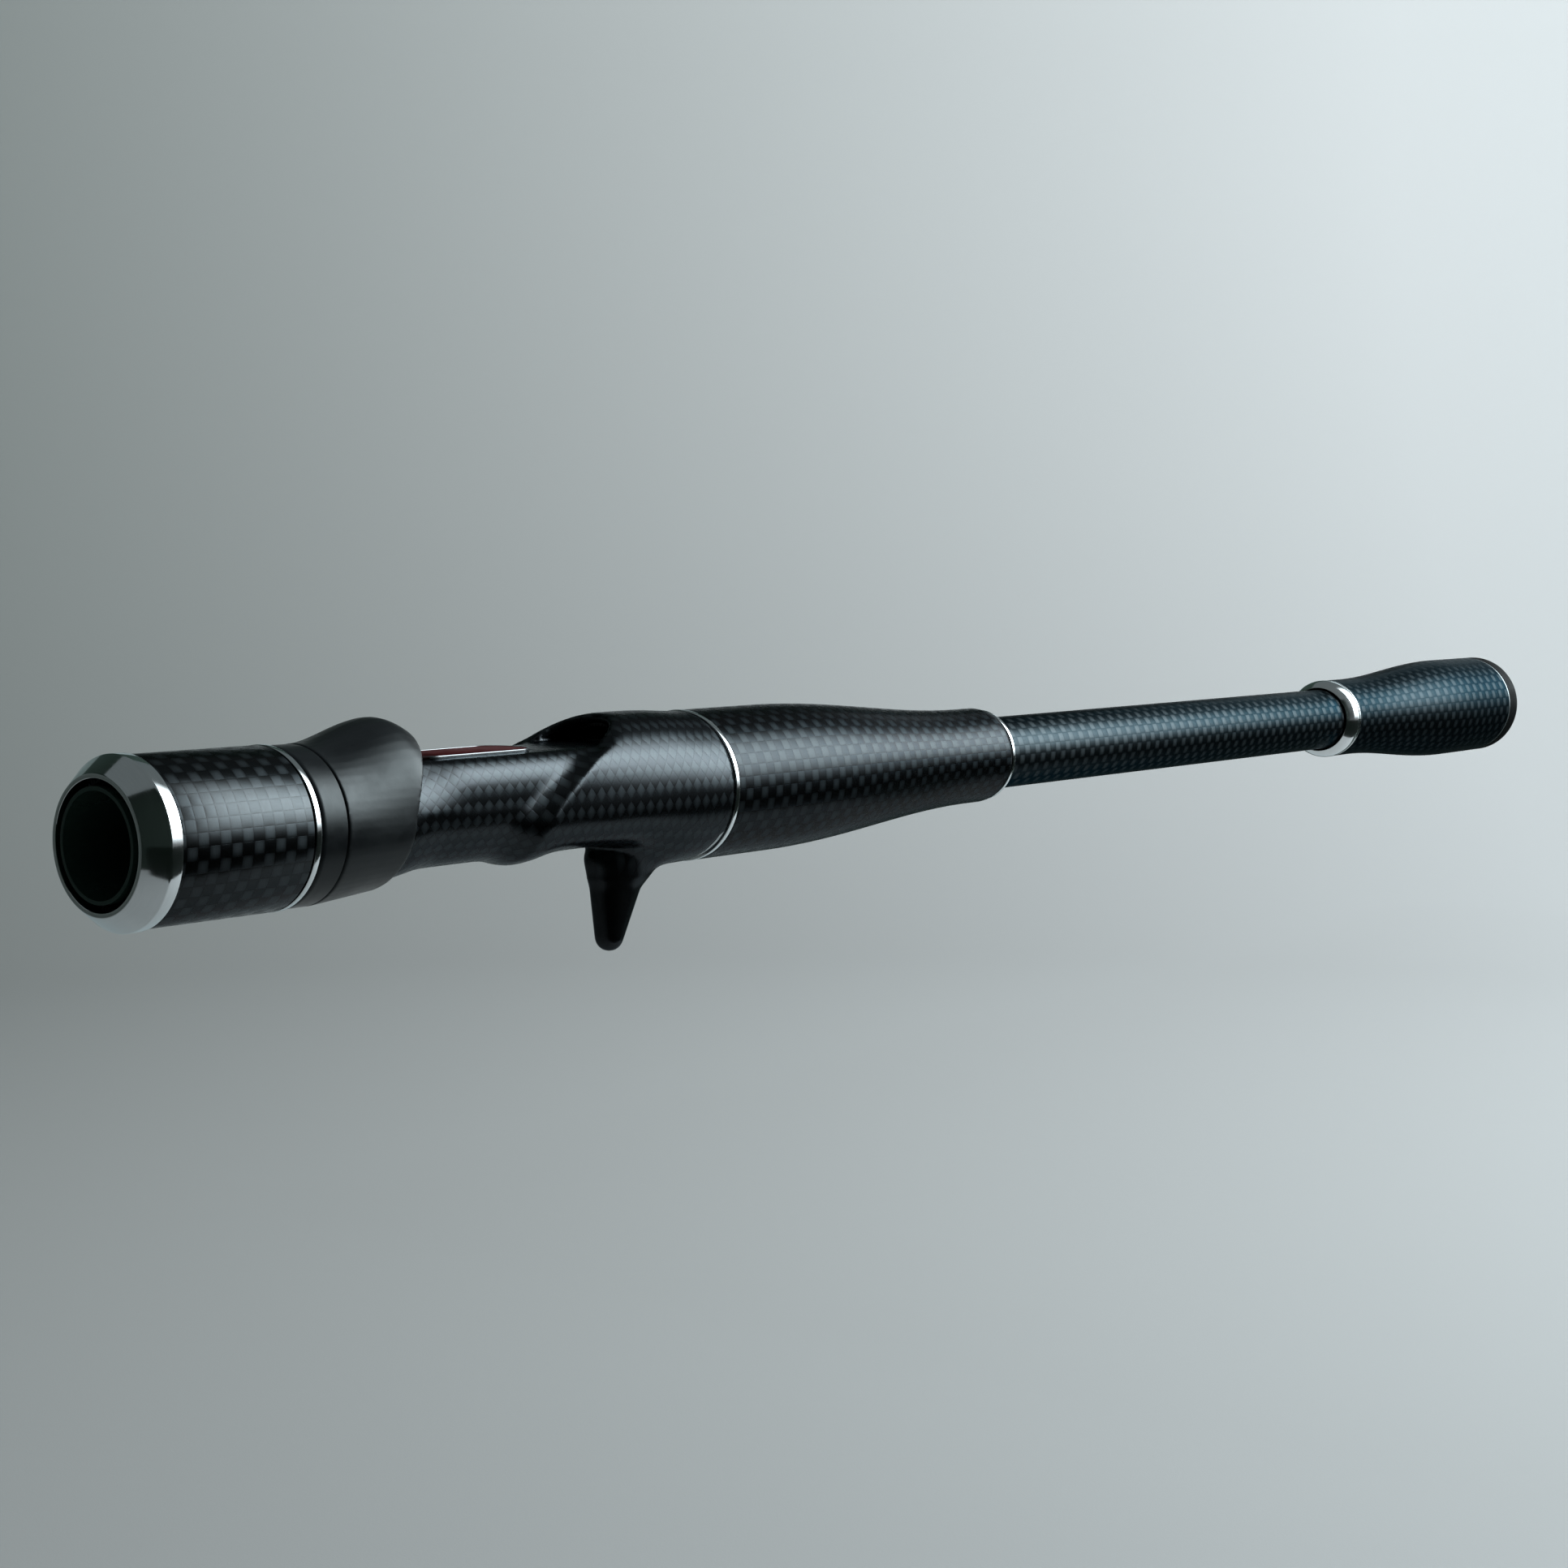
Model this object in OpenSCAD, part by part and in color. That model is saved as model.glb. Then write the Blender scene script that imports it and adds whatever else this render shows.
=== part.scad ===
// Carbon casting-rod handle: trigger reel seat with a screw-down hood, fore grip that turns
// the lock nut, rear grip, long handle tube and butt grip.
// Frame: X runs along the rod axis from the nose to the butt, +Z up, trigger down.
// The origin is the centre of the nose opening.

/* [Blank socket] */
// Radius of the socket that takes the rod blank
socket_r = 8.1; // [7.7:0.1:8.3]
// Depth of the socket behind the nose
socket_l = 66; // [64:0.5:70]

// Wall of the moulded barrel around the socket
barrel_wall = 0.55; // [0.5:0.05:1]

/* [Fore grip and lock nut] */
// Thickness of the fore grip's core
fore_core_t = 1.8; // [1.5:0.1:3]
// Length of the carbon part of the fore grip
fore_l = 24.9; // [22:0.1:28]
// Length of the polished nose ring, tip to rear edge
nose_l = 5.4; // [4.5:0.1:7]
// Length of the bevel on the nose ring
nose_bevel = 3.3; // [2:0.1:4]
// Gap between the barrel's rim and the nose ring
nose_gap = 1.16; // [0.6:0.02:1.2]
// Width of the nose ring's flat lip
nose_lip_w = 0.74; // [0.5:0.02:1]
// Length of the bare nut band behind the fore grip
band_l = 5.4; // [5:0.1:8]
// Width of a polished trim ring
trim_w = 1; // [0.6:0.1:2]
// Thickness of a carbon skin over its core
skin = 0.8; // [0.5:0.1:1.1]

/* [Thread] */
// Advance of the lock nut in one turn
pitch = 2; // [1.8:0.1:2.4]
// Turns of thread in the lock nut
nut_turns = 4; // [3:1:4]
// Height of a thread ridge
thread_h = 0.5; // [0.4:0.05:0.55]

/* [Sliding hood] */
// Length of the hood along its roof
hood_l = 21; // [20:0.5:24]
// Rise of the hood's crown over its front edge
hood_rise = 3.45; // [3.2:0.05:5]
// Travel of the hood from closed to open
hood_travel = 13; // [8:0.5:13.5]
// Width of the key that stops the hood from turning
key_w = 3; // [2:0.1:4]

/* [Reel seat] */
// Length of the seat body
seat_l = 77.5; // [74:0.5:90]
// Wall of the seat body where it meets the rear grip
seat_wall = 5.35; // [4.9:0.05:6.4]
// Wall between the barrel and the flat that carries the reel foot
bed_wall = 0.65; // [0.55:0.05:1]
// Half width of that flat
bed_half_w = 6; // [5.4:0.1:6.6]
// Thickness of the plate on the flat
plate_t = 0.35; // [0.2:0.05:0.5]
// Wall over the rear pocket
pocket_wall = 1.3; // [1:0.1:1.8]
// Reach of the trigger below the axis
trigger_reach = 28.5; // [24:0.5:34]
// Half thickness of the trigger at its tip
trigger_tip_r = 2.6; // [2:0.1:3.4]

/* [Handle tube] */
// Thickness of the arbors between the seat and the handle tube
arbor_t = 0.95; // [0.6:0.05:1.4]
// Wall of the handle tube
tube_wall = 0.8; // [0.6:0.1:1.5]
// Length of the bare tube between the grips
bare_l = 155.8; // [100:0.1:220]

/* [Rear grip] */
// Length of the rear grip without its rings
rear_grip_l = 95; // [80:0.5:120]
// Thickness of the rear grip at its tail
rear_tail_t = 2.3; // [1.8:0.1:3.3]

/* [Butt grip] */
// Length of the butt grip
butt_grip_l = 87; // [72:0.5:110]
// Thickness of the butt grip at its waist
butt_waist_t = 2.26; // [1.9:0.02:3.3]
// Thickness of the butt grip at its end
butt_end_t = 5.6; // [4.8:0.1:7.3]
// Length of the polished butt check
check_l = 4.8; // [4:0.1:8]
// Length of the butt cap
cap_l = 6.6; // [5:0.1:9]
// Depth of the cap's plug inside the tube
plug_l = 12; // [8:0.5:20]

/* [Hidden] */
$fn = 96;

// Clearances: a running fit, a glue line, and free air between moving faces
run_gap = 0.08;
glue_gap = 0.05;
free_gap = 0.3;

// Radii that follow the barrel outwards
barrel_r = socket_r + barrel_wall;
rim_r = barrel_r + 0.07;
crest_r = barrel_r + thread_h;
neck_r = crest_r + 0.25;
rim_l = 3;
nut_bore_r = crest_r + 0.35;
nut_wall = 0.9;
nut_sleeve_r = nut_bore_r + nut_wall;
fore_r = nut_sleeve_r + fore_core_t + skin;
nose_open_r = rim_r + nose_gap;
nose_lip_r = nose_open_r + nose_lip_w;
bed_z = barrel_r + bed_wall;
seat_r = barrel_r + seat_wall;
pocket_r = seat_r - pocket_wall;

// Radii that follow the handle tube outwards
tube_r = barrel_r - arbor_t;
tube_in_r = tube_r - tube_wall;
seat_on_tube_r = tube_r + glue_gap;
rear_tail_r = tube_r + rear_tail_t;
butt_waist_r = tube_r + butt_waist_t;
butt_end_r = tube_r + butt_end_t;

// Stations along the axis, front to rear
nose_rear_x = nose_l;
fore_rear_x = nose_rear_x + fore_l;
trim_front_x = fore_rear_x + 0.2;
band_front_x = trim_front_x + trim_w;
band_rear_x = band_front_x + band_l;
hood_front_x = band_rear_x + 0.2;
neck_front_x = hood_front_x - 1.1;
shoulder_x = hood_front_x + 13;
seat_front_x = shoulder_x + 0.4;
seat_end = seat_front_x + seat_l;
hood_rear_x = hood_front_x + hood_l;

// Lock nut
nut_front_x = nose_bevel;
nut_thread_end_x = band_front_x - 3.5;

// The barrel's thread reaches past the nut's at both ends of the travel, and the two start
// whole turns apart, so they stay in mesh at any pitch
thread_end_x = neck_front_x - 2;
barrel_turns = ceil((thread_end_x - nut_thread_end_x + hood_travel + 0.5) / pitch) + nut_turns;
thread_front_x = thread_end_x - pitch * barrel_turns;
nut_thread_x = thread_front_x
    + pitch * floor((nut_thread_end_x - thread_front_x) / pitch - nut_turns);

// Hood parts
liner_bore_r = neck_r + run_gap;
liner_r = liner_bore_r + 1.0;
liner_front_x = band_front_x + 1;
clip_w = 1;
clip_x = liner_front_x + 1;
clip_r = liner_r + 0.9;
clip_gap_angle = 60;
washer_t = 0.35;
washer_in_r = liner_r + free_gap;
washer_r = fore_r - 0.8;
skirt_r = neck_r + 1.5;
skin_front_r = skirt_r - free_gap;
bed_edge_r = norm([bed_half_w + 0.15, bed_z]);
bed_edge_angle = atan2(bed_z, bed_half_w + 0.15);
mouth_relief_r = bed_edge_r + free_gap;
mouth_relief_z = 6.8;
mouth_half_w = bed_half_w + 0.6;
mouth_top_z = bed_z + 4.3;
mouth_back_x = shoulder_x - 3;
hood_sweep = 6;
pad_t = 0.8;

// Reel seat shape
side_front_r = barrel_r + 1.55;
belly_front_r = barrel_r + 0.55;
ridge_low_x = shoulder_x + 31;
ridge_run = seat_end - ridge_low_x - 7;
ridge_top_angle = 47;
shoulder_w = 1.75;
ridge_w = 7.5;
scarf_x = seat_front_x + 44.5;
scarf_l = 13.5;
scarf_rise = 5.6;
notch_x = seat_front_x + 47;
notch_r = barrel_r + 0.35;
swell_x = seat_front_x + 32.5;
swell_h = 1.4;
crown_h = 0.9;
trigger_x = seat_front_x + 58.5;
trigger_root_z = -barrel_r - 2.4;
trigger_waist_z = -barrel_r - 8;
pocket_end_x = seat_end - 8;
pocket_mouth_w = 7.4;
pocket_mouth_x = scarf_x + 11;
liner_wall = 0.7;
plate_front_x = hood_rear_x + 0.5;
plate_rear_x = scarf_x - 9;
plate_sink = 0.15;
tongue_front_x = seat_front_x + 1.5;
tongue_half_w = bed_half_w - 0.8;
tongue_drop = 0.1;
trim_strip_w = 0.5;

// Rear grip, tube and butt grip
front_ring_x = seat_end;
grip_front_x = front_ring_x + 0.4 + trim_w;
grip_rear_x = grip_front_x + rear_grip_l;
rear_grip_r = seat_r - 0.05;
end_ring_x = grip_rear_x;
check_front_x = end_ring_x + trim_w + bare_l;
butt_front_x = check_front_x + check_l;
butt_rear_x = butt_front_x + butt_grip_l;
butt_trim_w = 0.6;
cap_front_x = butt_rear_x + butt_trim_w;
cap_rear_x = cap_front_x + cap_l;
arbor_l = 18;

// Meshes that are swept by a formula
around = 72;
seat_rings = 60;
ridge_share = 0.6;
hood_around = 56;
hood_rings = 18;
thread_steps = 24;

function ramp(a, b, x) = let (t = min(1, max(0, (x - a) / (b - a)))) t * t * (3 - 2 * t);
function mix(a, b, t) = a + (b - a) * t;
// A cosine curve from radius a to radius b over the run u = 0 to 1
function ease(a, b, u) = mix(a, b, (1 - cos(180 * u)) / 2);

// Solid of revolution about X from [x, r] outline points
module turned(outline) {
    rotate([0, 90, 0]) rotate_extrude() polygon([for (p = outline) [p[1], p[0]]]);
}

// Plain ring about X
module ring(x0, x1, r_out, r_in) {
    turned([[x0, r_in], [x0, r_out], [x1, r_out], [x1, r_in]]);
}

// Solid rod about X
module rod(x0, x1, r) {
    translate([x0, 0, 0]) rotate([0, 90, 0]) cylinder(h = x1 - x0, r = r);
}

// One ridge of a screw thread, as a swept trapezoid about X
module thread_ridge(x0, turns, base_r, crest, base_w, crest_w, phase) {
    count = turns * thread_steps;
    points = [for (i = [0:count]) let (
        a = phase + 360 * i / thread_steps,
        x = x0 + pitch * i / thread_steps)
        each [
            [x - base_w / 2, base_r * cos(a), base_r * sin(a)],
            [x - crest_w / 2, crest * cos(a), crest * sin(a)],
            [x + crest_w / 2, crest * cos(a), crest * sin(a)],
            [x + base_w / 2, base_r * cos(a), base_r * sin(a)],
        ]];
    out = crest > base_r;
    sides = [for (i = [0:count - 1], k = [0:3]) let (
        p = 4 * i + k, q = 4 * i + (k + 1) % 4)
        each (out ? [[p, q, q + 4], [p, q + 4, p + 4]] : [[p, q + 4, q], [p, p + 4, q + 4]])];
    last = 4 * count;
    ends = out ? [[3, 2, 1, 0], [last, last + 1, last + 2, last + 3]]
        : [[0, 1, 2, 3], [last + 3, last + 2, last + 1, last]];
    polyhedron(points, concat(sides, ends), convexity = 10);
}

// Closed skin around X: rings of points, each ring a list of the same length
module skin_of(rings) {
    n = len(rings[0]);
    m = len(rings);
    points = concat([for (ring = rings) each ring],
        [ring_centre(rings[0]), ring_centre(rings[m - 1])]);
    sides = [for (i = [0:m - 2], k = [0:n - 1]) let (
        p = n * i + k, q = n * i + (k + 1) % n)
        each [[p, q + n, q], [p, p + n, q + n]]];
    front = [for (k = [0:n - 1]) [n * m, k, (k + 1) % n]];
    rear = [for (k = [0:n - 1]) [n * m + 1, n * (m - 1) + (k + 1) % n, n * (m - 1) + k]];
    polyhedron(points, concat(sides, front, rear), convexity = 10);
}
function ring_centre(ring) = [sum_x(ring) / len(ring), 0, 0];
function sum_x(ring) = [for (p = ring) p[0]] * [for (p = ring) 1];

// Seat section: flat-topped at the front, round at the rear, parted by a slanting ridge
function ridge_x(a) = ridge_low_x
    + ridge_run * pow(max(0, (min(a, ridge_top_angle) + 30) / 110), 2);
function bed_edge(a) = mix(skin_front_r, bed_edge_r, ramp(bed_edge_angle - 11, bed_edge_angle, a));
function front_r(x, a) = a > 0
    ? mix(bed_edge(a), side_front_r + shoulder_w * pow(sin(2 * min(a, 45)), 2),
        ramp(hood_rear_x - 3, hood_rear_x + 9, x))
    : mix(skin_front_r, mix(side_front_r, belly_front_r, -sin(a)),
        ramp(seat_front_x, seat_front_x + 12, x));
function side_r(x, a) = let (
    rx = ridge_x(a),
    crest = mix(0.68, 0.97, ramp(0, 45, a)),
    rise = crest * pow(min(1, max(0, (x - rx) / ridge_w + 1)), 2)
        + (1 - crest) * ramp(rx - 2, seat_end - 4, x),
    crown = crown_h * max(0, sin(a)) * ramp(rx - 6, rx, x) * (1 - ramp(seat_end - 14, seat_end, x)))
    mix(front_r(x, a), seat_r + crown, rise);
function under_r(x) = mix(front_r(x, -90), notch_r, ramp(swell_x, notch_x, x))
    + swell_h * exp(-pow((x - swell_x) / 4.2, 2))
    + (seat_r - notch_r) * ramp(notch_x + 6, seat_end - 7, x);
function bed_cut(x) = bed_z + scarf_rise * ramp(scarf_x, scarf_x + scarf_l, x);
// The smaller of two radii, with the corner where they cross rounded off
function soft_min(p, q) = pow(pow(p, -24) + pow(q, -24), -1 / 24);
function seat_radius(x, a) = let (
    r = mix(under_r(x), side_r(x, a), ramp(-80, -10, a)))
    a > 5 ? soft_min(r, bed_cut(x) / sin(a)) : r;
function fold(a) = a > 90 ? 180 - a : a < -90 ? -180 - a : a;
// One row of the seat's mesh at t = 0 to 1 from front to rear. Its stations are drawn along the
// ridge, so that one row lies on the ridge's crest.
function seat_row(t) = [for (k = [0:around - 1]) let (
    b = 360 * k / around,
    a = fold(b > 180 ? b - 360 : b),
    x = t < ridge_share ? mix(seat_front_x, ridge_x(a), t / ridge_share)
        : mix(ridge_x(a), seat_end, (t - ridge_share) / (1 - ridge_share)),
    r = seat_radius(x, a))
    [x, r * cos(b), r * sin(b)]];

// Hood section: round at the nut, crowned over the reel foot, cut back underneath
function hood_end(a) = hood_rear_x - hood_sweep * (1 - pow(max(0, sin(a)), 1.6)) + 2 * min(0, sin(a));
function hood_radius(x, a) = let (
    u = x - hood_front_x,
    side = fore_r - 0.1 - 0.045 * u,
    top = fore_r - 0.1 + hood_rise * ramp(0.5, 16.5, u) - 0.07 * pow(max(0, u - 15.5), 2),
    under = fore_r - 0.1 - 0.09 * u)
    a > 0 ? mix(side, top, pow(sin(a), 2)) : mix(side, under, pow(sin(a), 2));
function hood_ring(t) = [for (k = [0:hood_around - 1]) let (
    b = 360 * k / hood_around, a = fold(b > 180 ? b - 360 : b),
    x = mix(hood_front_x, hood_end(a), t), r = hood_radius(x, a))
    [x, r * cos(b), r * sin(b)]];

// Grip profiles along X
function rear_grip_at(u) = u < 0.22 ? rear_grip_r : ease(rear_grip_r, rear_tail_r, min(1, (u - 0.22) / 0.72));
function butt_grip_at(u) = ease(butt_waist_r, butt_end_r, min(1, max(0, (u - 0.1) / 0.655)));

// Outer outline of a grip, less an inset, with a small round at the end named by its sign
function rear_grip_outline(inset) = [for (i = [0:40]) let (u = i / 40)
    [mix(grip_front_x, grip_rear_x, u), rear_grip_at(u) - inset - 0.35 * ramp(0.975, 1, u)]];
function butt_grip_outline(inset) = [for (i = [0:36]) let (u = i / 36)
    [mix(butt_front_x, butt_rear_x, u), butt_grip_at(u) - inset]];
module grip(outer, inner) {
    turned(concat(outer, [for (i = [len(inner) - 1:-1:0]) inner[i]]));
}
module grip_core(outer) {
    last = len(outer) - 1;
    turned(concat(outer, [[outer[last][0], seat_on_tube_r], [outer[0][0], seat_on_tube_r]]));
}

// Tunnel with a flat floor and an arched roof, for the reel foot
module foot_tunnel(x0, x1, half_w, floor_z, height) {
    arch_r = (half_w * half_w + height * height) / (2 * height);
    translate([x0, 0, 0]) rotate([90, 0, 90]) linear_extrude(x1 - x0) intersection() {
        translate([0, floor_z + height - arch_r]) circle(arch_r);
        translate([-half_w, floor_z]) square([2 * half_w, height + 1]);
    }
}

// Moulded liner: blank socket, screw thread with a keyway, and the land that the hood slides on
module threaded_barrel() color("darkslategray") difference() {
    union() {
        turned([[0, socket_r], [0, rim_r], [rim_l, rim_r], [rim_l + 0.4, barrel_r],
            [neck_front_x, barrel_r], [neck_front_x, neck_r], [seat_front_x, neck_r], [seat_front_x, barrel_r], [socket_l, barrel_r],
            [socket_l, socket_r]]);
        thread_ridge(thread_front_x, barrel_turns, barrel_r - 0.15, crest_r, 1.0, 0.4, 0);
    }
    translate([thread_front_x - 2, -key_w / 2 - free_gap, -neck_r - 1])
        cube([seat_front_x - thread_front_x + 2 - 0.5, key_w + 2 * free_gap, neck_r + 1 - barrel_r + 0.02]);
}

// Carbon seat shell with the trigger, the reel-foot flat and the rear pocket
module seat_body() color([0.07, 0.08, 0.08]) difference() {
    union() {
        skin_of([for (i = [0:seat_rings]) seat_row(i / seat_rings)]);
        trigger();
    }
    rod(seat_front_x - 1, seat_end + 1, barrel_r);
    pocket_space(scarf_x + 1, pocket_end_x, pocket_r, bed_z);
    translate([pocket_mouth_x - pocket_mouth_w, 0, bed_z]) cylinder(h = seat_r, r = pocket_mouth_w);
    plate_space(plate_sink, 2);
}

// Space of the foot bed plate, from below the flat to above it, with its tongue under the hood
module plate_space(depth, height) {
    translate([plate_front_x, -bed_half_w, bed_z - depth])
        cube([plate_rear_x - plate_front_x, 2 * bed_half_w, depth + height]);
    translate([tongue_front_x, -tongue_half_w, bed_z - depth])
        cube([plate_front_x - tongue_front_x + 1, 2 * tongue_half_w, depth + height - tongue_drop]);
}

module trigger() {
    $fn = 32;
    hull() {
        translate([trigger_x + 4.9, 0, trigger_root_z]) scale_ball(10.3, 5.4, 2.2);
        trigger_waist();
    }
    hull() {
        trigger_waist();
        translate([trigger_x + 0.3, 0, -trigger_reach + trigger_tip_r])
            scale_ball(trigger_tip_r, trigger_tip_r, trigger_tip_r);
    }
}
module trigger_waist() {
    translate([trigger_x + 2.1, 0, trigger_waist_z]) scale_ball(5.7, 3.7, 2.6);
}
module scale_ball(rx, ry, rz) { resize([2 * rx, 2 * ry, 2 * rz]) sphere(1); }

// Space of the rear pocket: round roof, flat floor
module pocket_space(x0, x1, roof_r, floor_z) {
    translate([x0, 0, 0]) rotate([90, 0, 90]) linear_extrude(x1 - x0) intersection() {
        circle(roof_r);
        translate([-roof_r, floor_z]) square([2 * roof_r, roof_r]);
    }
}

// Thin coloured plate on the flat, under the reel foot
module foot_bed_plate() color("darkred") difference() {
    plate_space(plate_sink, plate_t);
    foot_bed_strips(1);
}

// Two bright strips along the edges of that plate
module foot_bed_trim() color("silver") foot_bed_strips(plate_t + 0.05);
module foot_bed_strips(height) {
    for (side = [-1, 1])
        translate([plate_front_x, side * (bed_half_w - trim_strip_w / 2) - trim_strip_w / 2,
            bed_z - plate_sink])
            cube([plate_rear_x - plate_front_x, trim_strip_w, height + plate_sink]);
}

// Moulded lining of the rear pocket
module pocket_liner() color([0.03, 0.03, 0.03]) difference() {
    pocket_space(scarf_x + 12, pocket_end_x - glue_gap, pocket_r - glue_gap, bed_z + glue_gap);
    pocket_space(scarf_x + 11, pocket_end_x - liner_wall, pocket_r - liner_wall, bed_z + plate_t);
}

// Wound arbors that centre the handle tube in the seat
module tube_arbor_front() color("tan")
    ring(socket_l + 0.2, socket_l + 0.2 + arbor_l, barrel_r - glue_gap, seat_on_tube_r);
module tube_arbor_rear() color("tan")
    ring(seat_end - 1 - arbor_l, seat_end - 1, barrel_r - glue_gap, seat_on_tube_r);

// Long carbon tube from inside the seat to the butt
module handle_tube() color([0.1, 0.11, 0.12])
    ring(socket_l + 0.2, butt_rear_x, tube_r, tube_in_r);

// Polished ring between the seat and the rear grip, with a shadow groove ahead of it
module rear_grip_front_ring() color("silver")
    turned([[front_ring_x, seat_on_tube_r], [front_ring_x, seat_r - 0.7],
        [front_ring_x + 0.4, seat_r - 0.7],
        [front_ring_x + 0.4, seat_r - 0.1], [front_ring_x + 0.5, seat_r],
        [grip_front_x - 0.1, seat_r], [grip_front_x, seat_r - 0.1],
        [grip_front_x, seat_on_tube_r]]);
module rear_grip_core() color("dimgray") grip_core(rear_grip_outline(skin));
module rear_grip_sleeve() color([0.1, 0.11, 0.12]) grip(rear_grip_outline(0), rear_grip_outline(skin));
module rear_grip_end_ring() color("silver")
    turned([[end_ring_x, seat_on_tube_r], [end_ring_x, rear_tail_r - 0.3],
        [end_ring_x + trim_w - 0.2, rear_tail_r - 0.3], [end_ring_x + trim_w, rear_tail_r - 0.5],
        [end_ring_x + trim_w, seat_on_tube_r]]);

// Polished flared ring where the tube enters the butt grip, hollowed at its front edge
module butt_check_ring() color("gainsboro")
    turned(concat([[check_front_x + 1.2, seat_on_tube_r], [check_front_x, tube_r + 0.45],
        [check_front_x, tube_r + 0.6]],
        [for (i = [1:8]) [check_front_x + (check_l - 1.4) * i / 8,
            mix(tube_r + 0.6, butt_waist_r + 0.05, sin(90 * i / 8))]],
        [[butt_front_x - 0.9, butt_waist_r + 0.05], [butt_front_x - 0.8, butt_waist_r - 0.25],
        [butt_front_x - 0.5, butt_waist_r - 0.25], [butt_front_x - 0.4, butt_waist_r + 0.02],
        [butt_front_x, butt_waist_r + 0.02], [butt_front_x, seat_on_tube_r]]));
module butt_grip_core() color("dimgray") grip_core(butt_grip_outline(skin));
module butt_grip_sleeve() color([0.09, 0.1, 0.1]) grip(butt_grip_outline(0), butt_grip_outline(skin));
module butt_trim_ring() color("silver")
    ring(butt_rear_x, cap_front_x, butt_end_r - 0.05, tube_in_r + glue_gap);

// Butt cap with a rounded edge and a plug that fits the tube
module butt_cap() color([0.05, 0.05, 0.06]) {
    edge = 2.4;
    turned(concat([[cap_front_x, 0], [cap_front_x, butt_end_r]],
        [for (i = [0:8]) [cap_rear_x - edge * (1 - sin(90 * i / 8)),
            butt_end_r - edge * (1 - cos(90 * i / 8))]],
        [[cap_rear_x, 0]]));
    rod(cap_front_x - plug_l, cap_front_x + 1, tube_in_r - glue_gap);
}

// Moulded hood that slides along the barrel and clamps the front of the reel foot
module sliding_hood() color([0.06, 0.06, 0.07]) difference() {
    skin_of([for (i = [0:hood_rings]) hood_ring(i / hood_rings)]);
    rod(hood_front_x - 1, hood_rear_x + 1, liner_r);
    rod(shoulder_x, hood_rear_x + 1, skirt_r);
    pocket_space(shoulder_x, hood_rear_x + 1, mouth_relief_r, mouth_relief_z);
    foot_tunnel(mouth_back_x, hood_rear_x + 1, mouth_half_w, bed_z - 2, mouth_top_z - bed_z + 2);
}

// Slippery bush inside the hood, with the key that runs in the barrel's keyway
module hood_liner() color("ivory") {
    difference() {
        ring(liner_front_x, shoulder_x - 0.4, liner_r, liner_bore_r);
        ring(clip_x, clip_x + clip_w + 0.05, liner_r + 1, liner_r - 0.5);
        foot_tunnel(mouth_back_x, hood_rear_x + 1, mouth_half_w, bed_z - 2, mouth_top_z - bed_z + 2);
    }
    translate([neck_front_x + 2, -key_w / 2, -liner_bore_r - 0.4])
        cube([shoulder_x - 0.4 - neck_front_x - 2, key_w, liner_bore_r + 0.4 - barrel_r - free_gap]);
}

// Soft pad on the roof of the hood's mouth
module hood_foot_pad() color("dimgray") difference() {
    foot_tunnel(mouth_back_x + glue_gap, hood_rear_x - 5, mouth_half_w, bed_z - 2,
        mouth_top_z - bed_z + 2 - glue_gap);
    foot_tunnel(mouth_back_x - 1, hood_rear_x - 4, mouth_half_w + 1, bed_z - 3,
        mouth_top_z - bed_z + 3 - pad_t);
}

// Open spring clip that ties the hood to the lock nut
module hood_clip() color("silver") difference() {
    ring(clip_x, clip_x + clip_w, clip_r, liner_r - 0.5);
    rotate([0, 90, 0]) translate([0, 0, clip_x - 1]) rotate(180 - clip_gap_angle / 2)
        linear_extrude(clip_w + 2) polygon([[0, 0], [clip_r * 2, 0],
            [clip_r * 2 * cos(clip_gap_angle), clip_r * 2 * sin(clip_gap_angle)]]);
}

// Thin washer that the lock nut slips on
module hood_washer() color("white")
    ring(hood_front_x - washer_t, hood_front_x, washer_r, washer_in_r);

// Lock nut: the dark band, its long sleeve under the fore grip and its internal thread
module lock_nut() color([0.08, 0.08, 0.09]) {
    difference() {
        turned([[nut_front_x, nut_bore_r], [nut_front_x, nut_sleeve_r], [band_front_x, nut_sleeve_r],
            [band_front_x, fore_r - 0.15], [band_rear_x, fore_r - 0.2], [band_rear_x, washer_r + free_gap],
            [hood_front_x - washer_t - free_gap, washer_r + free_gap],
            [hood_front_x - washer_t - free_gap, liner_r + free_gap],
            [liner_front_x - free_gap, liner_r + free_gap], [liner_front_x - free_gap, nut_bore_r]]);
        ring(clip_x - free_gap, clip_x + clip_w + free_gap, clip_r + free_gap, nut_bore_r);
    }
    thread_ridge(nut_thread_x, nut_turns, nut_bore_r + 0.15, nut_bore_r - thread_h - 0.15, 1.0, 0.4, 180);
}

// Fore grip that is bonded on the lock nut's sleeve
module fore_grip_core() color("dimgray") ring(nose_rear_x, fore_rear_x, fore_r - skin, nut_sleeve_r);
module fore_grip_sleeve() color([0.08, 0.09, 0.09]) ring(nose_rear_x, fore_rear_x, fore_r, fore_r - skin);
module fore_grip_trim_ring() color("silver")
    turned([[fore_rear_x, nut_sleeve_r], [fore_rear_x, fore_r - 0.6], [trim_front_x, fore_r - 0.6],
        [trim_front_x, fore_r], [trim_front_x + 0.1, fore_r + 0.06], [band_front_x - 0.1, fore_r + 0.06],
        [band_front_x, fore_r], [band_front_x, nut_sleeve_r]]);

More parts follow.
